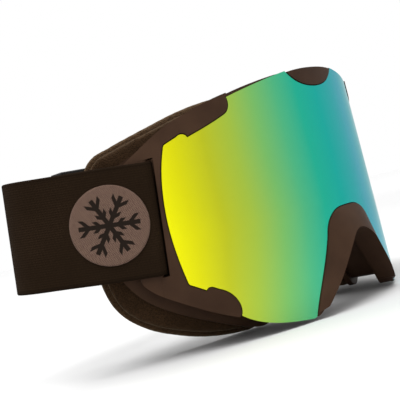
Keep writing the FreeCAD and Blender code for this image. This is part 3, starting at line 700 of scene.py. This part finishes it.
@dataclass
class StrapPath:
    """The line the strap follows, from the bar on one side to the middle of the back, on -X."""

    tilt: float = math.radians(6.0)
    slot_arc: float = 82.7
    bar_mid_radius: float = 88.8
    bar_thick: float = 3.0
    bar_length: float = 9.0
    gap: float = 0.35
    thick: float = 1.3
    slot_front_gap: float = 0.7
    side_run: float = 42.3
    fold_radius: float = 14.0
    level_run: float = 18.0
    merge_run: float = 17.0
    ply_gap: float = 0.25
    mid_z: float = 4.3
    adjuster_x: float = 52.0
    adjuster_bar: float = 4.0
    adjuster_bar_thick: float = 1.8
    tail_length: float = 15.0
    tail_settled: float = 10.2
    slot_turn: float = field(init=False)
    turn_radius: float = field(init=False)

    def __post_init__(self) -> None:
        """Work out the bends from the driving sizes."""
        self.slot_turn = self.slot_arc / (LENS_RADIUS / MM)
        self.turn_radius = self.bar_thick / 2.0 + self.gap + self.thick / 2.0
        self.backward = Vector((-math.cos(self.slot_turn), math.sin(self.slot_turn), 0.0))
        self.outward = Vector((-math.sin(self.slot_turn), -math.cos(self.slot_turn), 0.0))
        front = self.slot_front_gap + self.thick + self.gap + self.bar_thick / 2.0
        self.turn_centre = self.outward * self.bar_mid_radius + self.backward * front
        self.side_start = self.turn_centre + self.outward * self.turn_radius
        self.fold_angle = math.atan2(self.backward.y, self.backward.x)
        self.fold_centre = (self.side_start + self.backward * self.side_run
                            - self.outward * self.fold_radius)
        self.back_y = self.fold_centre.y + self.fold_radius
        self.fold_run = self.fold_angle * self.fold_radius
        self.half_run = self.side_run + self.fold_run - self.fold_centre.x
        self.at_bar = -2.0 * self.turn_radius
        self.lying = -(self.thick + self.ply_gap)
        self.clear_run = self.bar_length - self.bar_thick / 2.0 + 1.0
        self.loop_radius = self.adjuster_bar_thick / 2.0 + self.gap + self.thick / 2.0
        self.loop_y = self.back_y + self.lying - self.loop_radius
        self.loop_x = -self.adjuster_x + self.adjuster_bar / 2.0 - self.adjuster_bar_thick / 2.0
        self.back_z = self.mid_z + self.rise(self.half_run)

    def level(self, run: float) -> float:
        """Share of the levelling stretch behind the fold that lies before a place."""
        return min(1.0, max(0.0, (run - self.side_run - self.fold_run) / self.level_run))

    def lean(self, run: float) -> float:
        """Sine of the strap's lean, kept through the fold and dying out on the back."""
        return math.sin(self.tilt) * (1.0 - ease(self.level(run)))

    def rise(self, run: float) -> float:
        """Height gained at a distance behind the slot."""
        if run <= self.side_run:
            return run * math.tan(self.tilt)
        turn = min((run - self.side_run) / self.fold_radius, self.fold_angle)
        share = self.level(run)
        dip = self.level_run * (share + math.sin(math.pi * share) / math.pi) / 2.0
        reach = self.side_run + self.fold_radius * math.sin(turn) + self.backward.x * dip
        return math.tan(self.tilt) * reach

    def plan(self, run: float, offset: float) -> Vector:
        """Point seen from above.

        Args:
            run: Distance behind the slot.
            offset: Outwards from the middle of the outer ply.

        Returns:
            The point, at height 0.
        """
        if run <= self.side_run:
            return self.side_start + self.backward * run + self.outward * offset
        if run <= self.side_run + self.fold_run:
            turn = (run - self.side_run) / self.fold_radius
            spoke = self.outward * math.cos(turn) + self.backward * math.sin(turn)
            return self.fold_centre + spoke * (self.fold_radius + offset)
        return Vector((self.fold_centre.x + run - self.side_run - self.fold_run, self.back_y + offset, 0.0))

    def point(self, run: float, offset: float, across: float) -> Vector:
        """Point on the strap, in millimetres.

        Args:
            run: Distance behind the slot.
            offset: Outwards from the middle of the outer ply.
            across: Up the strap's width, from its middle.

        Returns:
            The point.
        """
        lean = self.lean(run)
        plan = self.plan(run, offset) - self.backward * (across * lean)
        return Vector((plan.x, plan.y, self.mid_z + self.rise(run) + across * math.sqrt(1.0 - lean * lean)))

    def turn(self, angle: float, offset: float, across: float) -> Vector:
        """Point on the turn round the strap bar.

        Args:
            angle: 0 is outside the bar, pi is inside.
            offset: Outwards from the middle of the ply.
            across: Up the strap's width.

        Returns:
            The point.
        """
        spoke = self.outward * math.cos(angle) - self.backward * math.sin(angle)
        plan = (self.turn_centre + spoke * (self.turn_radius + offset)
                - self.backward * (across * math.sin(self.tilt)))
        return Vector((plan.x, plan.y, self.mid_z + across * math.cos(self.tilt)))

    def return_offset(self, run: float) -> float:
        """Middle of the return ply, outwards from the middle of the outer ply."""
        return self.at_bar + (self.lying - self.at_bar) * ease((run - self.clear_run) / self.merge_run)

    def loop(self, angle: float, offset: float, across: float) -> Vector:
        """Point on the sewn end's turn round the adjuster's middle bar.

        Args:
            angle: 0 is next to the outer ply.
            offset: Away from the bar.
            across: Up the strap's width.

        Returns:
            The point.
        """
        reach = self.loop_radius + offset
        return Vector((self.loop_x + math.sin(angle) * reach, self.loop_y + math.cos(angle) * reach,
                       self.back_z + across))

    def tail(self, run: float, offset: float, across: float) -> Vector:
        """Point on the sewn tail.

        Args:
            run: Distance along the tail.
            offset: Away from the return ply.
            across: Up the strap's width.

        Returns:
            The point.
        """
        share = ease((run - self.adjuster_bar) / (self.tail_settled - self.adjuster_bar))
        lie = self.loop_radius - share * (2.0 * self.loop_radius - self.thick - self.ply_gap)
        return Vector((self.loop_x - run, self.loop_y - lie - offset, self.back_z + across))


@dataclass
class Ply:
    """One length of webbing: a list of places along it, swept with a soft-edged section."""

    width: float = 43.0
    thick: float = 1.3
    across_steps: int = 30
    edge_steps: int = 5
    edge_pull: float = 0.25
    sections: list[tuple[float, Callable[[float, float], Vector]]] = field(default_factory=list)

    def add(self, run: float, place: Callable[[float, float], Vector]) -> None:
        """Add a section: place gives a point from (offset, across)."""
        self.sections.append((run, place))

    def outline(self) -> list[tuple[float, float]]:
        """Section as (offset, across) pairs: two faces with a rounded selvedge at each edge."""
        half = self.width / 2.0
        thin = self.thick / 2.0
        points = []
        for sign in (1.0, -1.0):
            points += [(thin * sign, across * sign) for across in spread(-half + thin, half - thin,
                                                                           self.across_steps)]
            for angle in spread(math.pi / 2.0, -math.pi / 2.0, self.edge_steps + 1)[1:-1]:
                across = half - thin + thin * math.cos(angle)
                points.append((thin * math.sin(angle) * sign, across * sign))
        return points

    def build(self, name: str, mirrored: bool = False, both: bool = False) -> bpy.types.Object:
        """Make the ply.

        Args:
            name: Piece name.
            mirrored: Build it on +X.
            both: Carry on across the centre plane with the mirror image.

        Returns:
            The piece.
        """
        outline = self.outline()
        sections = [[(run, place, 1.0) for run, place in self.sections]]
        if both:
            end = self.sections[-1][0]
            sections.append([(2.0 * end - run, place, -1.0) for run, place in reversed(self.sections[:-1])])
        points: list[Vector] = []
        weave: list[tuple[float, float, float]] = []
        for part in sections:
            for run, place, sign in part:
                for offset, across in outline:
                    ripple = self.edge_pull * math.sin(run * 0.11) * (across / self.width) * 2.0
                    point = place(offset, across + ripple * 0.5) * MM
                    if mirrored != (sign < 0.0):
                        point.x = -point.x
                    points.append(point)
                    weave.append((run, across, offset))
        rings = sum(len(part) for part in sections)
        return new_piece(name, points, tube_faces(rings, len(outline)), weave)


@dataclass
class FoamLayer:
    """A CAD foam ring rounded off and softened: remeshed, relaxed and given the foam's own unevenness."""

    node: str
    finish: Finish
    voxel: float = 1.1 * MM
    relax: int = 8
    unevenness: float = 0.25 * MM

    def build(self) -> bpy.types.Object:
        """Make the soft ring from the frame's node.

        Returns:
            The finished piece.
        """
        mesh = node_object(self.node).data.copy()
        piece = bpy.data.objects.new(self.node + "_soft", mesh)
        bpy.context.scene.collection.objects.link(piece)
        remesh = piece.modifiers.new("round", "REMESH")
        remesh.mode = "VOXEL"
        remesh.voxel_size = self.voxel
        smooth = piece.modifiers.new("relax", "SMOOTH")
        smooth.iterations = self.relax
        smooth.factor = 0.5
        cloud = bpy.data.textures.new(self.node + "_lumps", "CLOUDS")
        cloud.noise_scale = 0.012
        lumps = piece.modifiers.new("lumps", "DISPLACE")
        lumps.texture = cloud
        lumps.texture_coords = "LOCAL"
        lumps.strength = self.unevenness
        lumps.mid_level = 0.5
        graph = bpy.context.evaluated_depsgraph_get()
        baked = bpy.data.meshes.new_from_object(piece.evaluated_get(graph))
        piece.modifiers.clear()
        piece.data = baked
        baked.materials.clear()
        baked.shade_smooth()
        self.finish.dress(piece)
        return piece


def hand_over(piece: bpy.types.Object, body: Optional[Body] = None,
              replaces: Sequence[str] = ()) -> None:
    """Give a piece its body and the CAD nodes it stands for, and report it.

    Args:
        piece: The finished piece.
        body: The body it rides on; left out for a blended piece.
        replaces: CAD nodes that it stands for.
    """
    if body is not None:
        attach(piece, body.value)
    if replaces:
        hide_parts(*replaces)
    carrier = body.value if body else "two bodies"
    log.info("%s on %s, %d points", piece.name, carrier, len(piece.data.vertices))


def node_object(name: str) -> bpy.types.Object:
    """The Blender object of a CAD node."""
    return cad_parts[name]


def soften_edges(piece: bpy.types.Object, width: float, segments: int = 3, angle: float = 35.0) -> None:
    """Round the sharp edges of a moulded part.

    Args:
        piece: The part's object.
        width: Size of the rounding, in metres.
        segments: Steps across it.
        angle: Edges sharper than this, in degrees, are rounded.
    """
    bevel = piece.modifiers.new("moulded_edges", "BEVEL")
    bevel.width = width
    bevel.segments = segments
    bevel.limit_method = "ANGLE"
    bevel.angle_limit = math.radians(angle)
    bevel.use_clamp_overlap = True
    bevel.harden_normals = False


# ---- sub-assemblies --------------------------------------------------------


@dataclass
class FrameMoulding:
    """The moulded frame."""

    edge_width: float = 0.35 * MM

    def build(self) -> None:
        """Dress the frame and round its edges."""
        shell = node_object("frame_shell")
        SoftMoulding().dress(shell)
        soften_edges(shell, self.edge_width)
        log.info("frame_shell dressed")


@dataclass
class LensPack:
    """Outer lens, spacer and inner lens."""

    edge_width: float = 0.15 * MM

    def build(self) -> None:
        """Dress the panes and soften the foam spacer."""
        outer = node_object("lens_outer")
        MirrorLens().dress(outer)
        soften_edges(outer, self.edge_width, 2)
        ClearPane().dress(node_object("lens_inner"))
        spacer = FoamLayer("lens_spacer", FoamFinish("spacer_foam", tint(20, 16, 13), tint(38, 32, 27)),
                           0.7 * MM, 2, 0.04 * MM).build()
        hand_over(spacer, Body.LENS, ["lens_spacer"])
        log.info("lens panes dressed")


@dataclass
class FaceFoam:
    """The three layers of the face pad and the vent foams."""

    layers: tuple[tuple[str, str, Finish, float], ...] = (
        ("foam_base", "foam_dense", FoamFinish("foam_base", tint(28, 18, 9), tint(58, 41, 27), 1900.0,
                                               0.00025, 0.2), 0.95),
        ("foam_middle", "foam_soft", FoamFinish(), 0.8),
        ("foam_fleece", "fleece", FleeceFinish(), 0.7),
    )

    def build(self) -> None:
        """Make every foam piece."""
        for node, slot, finish, fill in self.layers:
            layer = FoamLayer(node, finish)
            if node == "foam_fleece":
                layer.voxel = 0.8 * MM
                layer.relax = 3
                layer.unevenness = 0.3 * MM
            piece = layer.build()
            hand_over(piece, Body.GOGGLES, [node])
        filter_foam = FoamFinish("vent_foam", tint(22, 16, 11), tint(48, 37, 28), 1100.0, 0.0004, 0.1)
        for place in ("top", "low", "side"):
            for side in Side:
                node = f"vent_foam_{place}_{side.word}"
                piece = FoamLayer(node, filter_foam, 0.5 * MM, 2, 0.1 * MM).build()
                hand_over(piece, Body.GOGGLES, [node])


@dataclass
class Strap:
    """The elastic strap: outer ply, return plies, badges, bartacks and grip lines."""

    path: StrapPath = field(default_factory=StrapPath)
    badge_mid: float = 15.5
    badge_radius: float = 15.2
    badge_thick: float = 0.5
    badge_lift: float = 0.1
    grip_pitch: float = 12.0
    grip_width: float = 2.4
    grip_thick: float = 0.6
    grip_half_run: float = 26.0
    stitch_count: int = 30
    stitch_radius: float = 0.16
    bartack_half: float = 16.5
    bartack_length: float = 2.4
    stretch: float = 9.5 * MM

    def outer(self) -> None:
        """The outer ply, round both bars and right across the back."""
        path = self.path
        ply = Ply()
        for angle in spread(math.pi / 2.0, 0.0, 14):
            ply.add(-path.turn_radius * angle, lambda o, a, t=angle: path.turn(t, o, a))
        runs = spread(1.0, path.side_run, 50) + spread(path.side_run, path.side_run + path.fold_run, 40)[1:]
        runs += spread(path.side_run + path.fold_run, path.half_run, 60)[1:]
        for run in runs:
            ply.add(run, lambda o, a, r=run: path.point(r, o, a))
        piece = ply.build("strap_outer_ply", both=True)
        WebbingFinish().dress(piece)
        hand_over(piece, Body.GOGGLES, ["strap_outer"])

    def returning(self, side: Side) -> None:
        """One return ply, sewn round its adjuster's middle bar.

        Args:
            side: Which side it is on.
        """
        path = self.path
        ply = Ply()
        for angle in spread(math.pi / 2.0, math.pi, 14):
            ply.add(path.turn_radius * (angle - math.pi), lambda o, a, t=angle: path.turn(t, o, a))
        ends = (path.side_run, path.side_run + path.fold_run, path.half_run + path.loop_x)
        runs = spread(1.0, ends[0], 56) + spread(ends[0], ends[1], 40)[1:]
        runs += spread(ends[1], ends[2], 40)[1:]
        for run in runs:
            ply.add(run, lambda o, a, r=run: path.point(r, path.return_offset(r) - o, a))
        for angle in spread(0.0, math.pi, 16)[1:]:
            ply.add(ends[2] + path.loop_radius * angle, lambda o, a, t=angle: path.loop(t, -o, a))
        tail_start = ends[2] + path.loop_radius * math.pi
        for run in spread(0.0, path.tail_length, 16)[1:]:
            ply.add(tail_start + run, lambda o, a, r=run: path.tail(r, -o, a))
        piece = ply.build(f"strap_return_ply_{side.word}", mirrored=side is Side.LEFT)
        WebbingFinish().dress(piece)
        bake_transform(piece)
        hand_over(piece, None, [f"strap_return_{side.word}"])

    def badge(self, side: Side) -> None:
        """Woven disc: a thin patch with a rounded rim, on the outer ply.

        Args:
            side: Which side it is on.
        """
        path = self.path
        rings, spokes = 26, 96
        points: list[Vector] = []
        weave: list[tuple[float, float, float]] = []
        cosine, sine = math.cos(path.tilt), math.sin(path.tilt)
        along = path.backward * cosine + Vector((0.0, 0.0, sine))
        up = Vector((0.0, 0.0, cosine)) - path.backward * sine
        centre = path.point(self.badge_mid, path.thick / 2.0, 0.0)
        profile = [(share, 1.0) for share in spread(0.02, 0.985, rings)] + [(1.0, 0.6), (1.0, 0.0)]
        height = self.badge_thick + self.badge_lift
        for share, lift in profile:
            for k in range(spokes):
                angle = 2.0 * math.pi * k / spokes
                u = math.cos(angle) * share * self.badge_radius
                v = math.sin(angle) * share * self.badge_radius
                point = centre + along * u + up * v + path.outward * (height * lift)
                point = point * MM
                if side is Side.LEFT:
                    point.x = -point.x
                points.append(point)
                weave.append((u, v, lift))
        piece = new_piece(f"badge_disc_{side.word}", points, tube_faces(len(profile), spokes), weave)
        BadgeFinish().dress(piece)
        hand_over(piece, Body.GOGGLES, [f"badge_{side.word}"])

    def bartack(self, side: Side) -> None:
        """Zigzag bartack across the sewn tail.

        Args:
            side: Which side it is on.
        """
        path = self.path
        half = self.bartack_half
        points: list[Vector] = []
        faces: list[tuple[int, ...]] = []
        count = 8
        x_mid = path.loop_x - path.tail_length + self.bartack_length
        surface = path.tail(path.tail_length, path.thick / 2.0, 0.0).y
        corners = []
        for k in range(self.stitch_count * 2 + 1):
            z = path.back_z - half + half * k / self.stitch_count
            corners.append(Vector((x_mid + (0.9 if k % 2 else -0.9), surface - self.stitch_radius, z)))
        for start, end in zip(corners, corners[1:]):
            axis = (end - start).normalized()
            side_way = axis.cross(Vector((0.0, 1.0, 0.0))).normalized()
            lift = side_way.cross(axis)
            first = len(points)
            for share, swell in ((0.0, 0.3), (0.15, 1.0), (0.85, 1.0), (1.0, 0.3)):
                for j in range(count):
                    angle = 2.0 * math.pi * j / count
                    offset = side_way * math.cos(angle) + lift * math.sin(angle)
                    point = start.lerp(end, share) + offset * (self.stitch_radius * swell)
                    point = point * MM
                    if side is Side.LEFT:
                        point.x = -point.x
                    points.append(point)
            faces += [tuple(first + i for i in f) for f in tube_faces(4, count)]
        piece = new_piece(f"bartack_stitches_{side.word}", points, faces)
        ThreadFinish().dress(piece)
        body = Body.ADJUSTER_LEFT if side is Side.LEFT else Body.ADJUSTER_RIGHT
        hand_over(piece, body, [f"bartack_{side.word}"])

    def grip_line(self, index: int, word: str) -> None:
        """One low rounded grip line inside the back of the strap.

        Args:
            index: 0 is the upper line.
            word: The line's word in its node name.
        """
        path = self.path
        middle = path.back_z + self.grip_pitch * (1 - index)
        face = path.back_y - path.thick / 2.0
        arc = spread(0.0, math.pi, 10)
        points: list[Vector] = []
        stations = spread(-self.grip_half_run, self.grip_half_run, 80)
        for x in stations:
            near_end = max(0.15, min(1.0, (self.grip_half_run - abs(x)) / self.grip_width * 2.0)) ** 0.5
            wave = 0.35 * math.sin(x * 0.75)
            for angle in arc:
                z = middle + wave + math.cos(angle) * self.grip_width / 2.0 * near_end * 0.7
                y = face - math.sin(angle) * self.grip_thick * near_end
                points.append(Vector((x, y, z)) * MM)
        piece = new_piece(f"grip_line_{word}", points, tube_faces(len(stations), len(arc)))
        GripRubber().dress(piece)
        hand_over(piece, Body.GOGGLES, [f"strap_grip_{word}"])

    def build(self) -> None:
        """Make every piece of the strap."""
        self.outer()
        for side in Side:
            self.returning(side)
            self.badge(side)
            self.bartack(side)
            slider = node_object(f"adjuster_{side.word}")
            SliderPlastic().dress(slider)
            soften_edges(slider, 0.25 * MM)
        for index, word in enumerate(("upper", "middle", "lower")):
            self.grip_line(index, word)


@dataclass
class Studio:
    """Floor, light and camera."""

    floor_size: float = 12.0
    floor_drop: float = 0.4 * MM
    target: tuple[float, float, float] = (9.95 * MM, -6.56 * MM, 8.11 * MM)
    distance: float = 430.0 * MM
    azimuth: float = -50.01
    elevation: float = -0.85
    roll: float = 14.54
    focal: float = 81.0
    lamp_size: float = 0.9
    lamps: tuple[tuple[str, tuple[float, float, float], float], ...] = (
        ("key_softbox", (-0.5, -0.2, 1.1), 14.0),
        ("fill_softbox", (0.5, -0.3, 1.1), 6.0),
        ("back_softbox", (-0.2, 0.7, 1.1), 10.0),
    )

    def floor(self) -> None:
        """Pale floor just under the goggles."""
        half = self.floor_size / 2.0
        height = cad_bounds[0][2] - self.floor_drop
        corners = [Vector((half * x, half * y, height)) for x, y in ((-1, -1), (1, -1), (1, 1), (-1, 1))]
        floor = new_piece("studio_floor", corners, [(0, 1, 2, 3)])
        StudioFloor().dress(floor)

    def light(self) -> None:
        """Even white surroundings with three large soft boxes above."""
        world = bpy.data.worlds.new("studio")
        world.use_nodes = True
        background = world.node_tree.nodes["Background"]
        background.inputs[0].default_value = (1.0, 1.0, 1.0, 1.0)
        background.inputs[1].default_value = 1.0
        bpy.context.scene.world = world
        for name, place, power in self.lamps:
            data = bpy.data.lights.new(name, "AREA")
            data.shape = "DISK"
            data.size = self.lamp_size
            data.energy = power
            lamp = bpy.data.objects.new(name, data)
            lamp.location = place
            lamp.rotation_euler = (-Vector(place)).to_track_quat("-Z", "Y").to_euler()
            bpy.context.scene.collection.objects.link(lamp)

    def camera(self) -> None:
        """Camera at the front left, nearly level, rolled so that the goggles lean."""
        turn, tip, roll = (math.radians(v) for v in (self.azimuth, self.elevation, self.roll))
        back = Vector((math.sin(turn) * math.cos(tip), -math.cos(turn) * math.cos(tip), math.sin(tip)))
        right = Vector((math.cos(turn), math.sin(turn), 0.0))
        up = back.cross(right)
        right_rolled = right * math.cos(roll) - up * math.sin(roll)
        up_rolled = right * math.sin(roll) + up * math.cos(roll)
        data = bpy.data.cameras.new("studio_camera")
        data.lens = self.focal
        data.sensor_width = 36.0
        data.clip_start = 0.01
        camera = bpy.data.objects.new("studio_camera", data)
        axes = Matrix((right_rolled, up_rolled, back)).transposed().to_4x4()
        camera.matrix_world = Matrix.Translation(Vector(self.target) + back * self.distance) @ axes
        bpy.context.scene.collection.objects.link(camera)
        bpy.context.scene.camera = camera

    def build(self) -> None:
        """Set the studio up."""
        self.floor()
        self.light()
        self.camera()
        bpy.context.scene.view_settings.view_transform = "Standard"


def main() -> None:
    """Build the goggles and the studio."""
    FrameMoulding().build()
    LensPack().build()
    FaceFoam().build()
    Strap().build()
    Studio().build()


if __name__ == "__main__":
    main()
